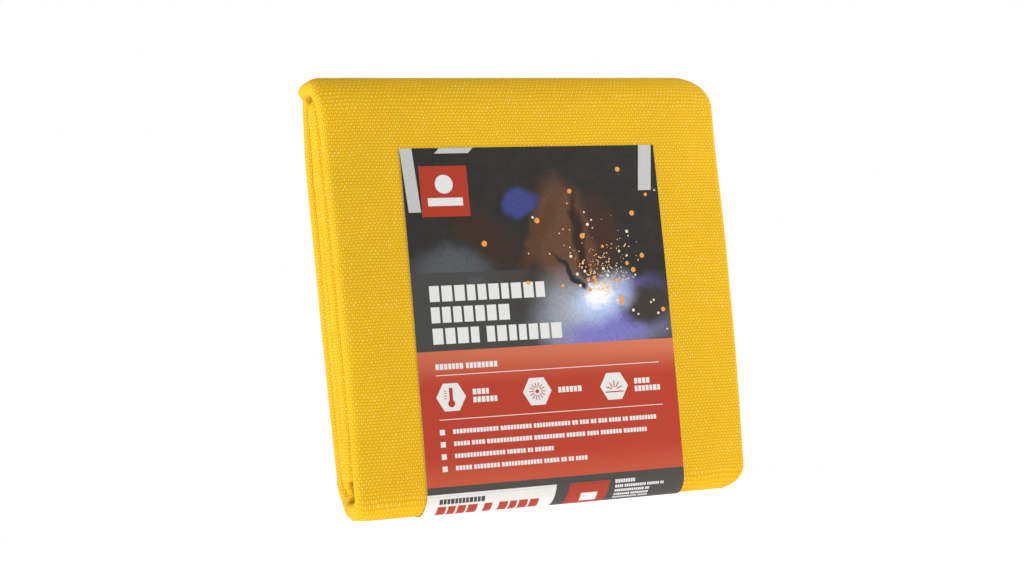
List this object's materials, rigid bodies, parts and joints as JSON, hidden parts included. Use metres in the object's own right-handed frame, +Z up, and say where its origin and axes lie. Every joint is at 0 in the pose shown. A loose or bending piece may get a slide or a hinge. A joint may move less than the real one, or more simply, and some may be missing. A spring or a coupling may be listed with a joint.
{
  "type": "fire blanket",
  "caption": "Coated glass-cloth welding fire blanket folded to a slab, with brass edge grommets, a loose end flap and a slide-off printed card sleeve.",
  "frame": {"origin": "centre of the bounding box's footprint, at the bottom of the card's spine", "axes": "+Z up the folded slab, +X to the right seen from the printed front, -Y out of the front, +Y out of the back with the flap"},
  "size_m": [0.3064, 0.0569, 0.3142],
  "materials": {
    "cloth": "plain-woven glass cloth, acrylic coated, matt",
    "thread": "heat-resistant sewing thread",
    "brass": "pressed brass, lightly polished",
    "card": "printed and varnished board"
  },
  "bodies": {
    "blanket": {"blanket_body": "cloth", "core_end_seam": "thread", "eyelet_core_edge_1": "brass", "eyelet_core_edge_2": "brass", "eyelet_core_edge_3": "brass", "eyelet_core_edge_4": "brass", "eyelet_core_edge_5": "brass", "eyelet_core_edge_6": "brass", "eyelet_inner_side_1": "brass", "eyelet_inner_side_2": "brass", "eyelet_inner_side_3": "brass", "eyelet_outer_side_1": "brass", "eyelet_outer_side_2": "brass", "eyelet_outer_side_3": "brass", "inner_side_seam": "thread", "outer_side_seam": "thread", "washer_core_edge_1": "brass", "washer_core_edge_2": "brass", "washer_core_edge_3": "brass", "washer_core_edge_4": "brass", "washer_core_edge_5": "brass", "washer_core_edge_6": "brass", "washer_inner_side_1": "brass", "washer_inner_side_2": "brass", "washer_inner_side_3": "brass", "washer_outer_side_1": "brass", "washer_outer_side_2": "brass", "washer_outer_side_3": "brass"},
    "end_flap": {"end_flap": "cloth", "eyelet_flap_edge_1": "brass", "eyelet_flap_edge_2": "brass", "eyelet_flap_edge_3": "brass", "eyelet_flap_edge_4": "brass", "eyelet_flap_edge_5": "brass", "eyelet_flap_edge_6": "brass", "eyelet_inner_side_4": "brass", "eyelet_outer_side_4": "brass", "flap_end_seam": "thread", "inner_side_seam_on_flap": "thread", "outer_side_seam_on_flap": "thread", "washer_flap_edge_1": "brass", "washer_flap_edge_2": "brass", "washer_flap_edge_3": "brass", "washer_flap_edge_4": "brass", "washer_flap_edge_5": "brass", "washer_flap_edge_6": "brass", "washer_inner_side_4": "brass", "washer_outer_side_4": "brass"},
    "card_sleeve": {"card_sleeve": "card"}
  },
  "joints": [
    {"name": "end_flap_hinge", "type": "hinge", "parent": "blanket", "child": "end_flap", "pos_m": [0, 0.02874, 0.28626], "axis": [1, 0, 0], "range_deg": [0, 170]},
    {"name": "card_sleeve_slide", "type": "slide", "parent": "blanket", "child": "card_sleeve", "axis": [0, 0, -1], "range_m": [0, 0.27]}
  ]
}
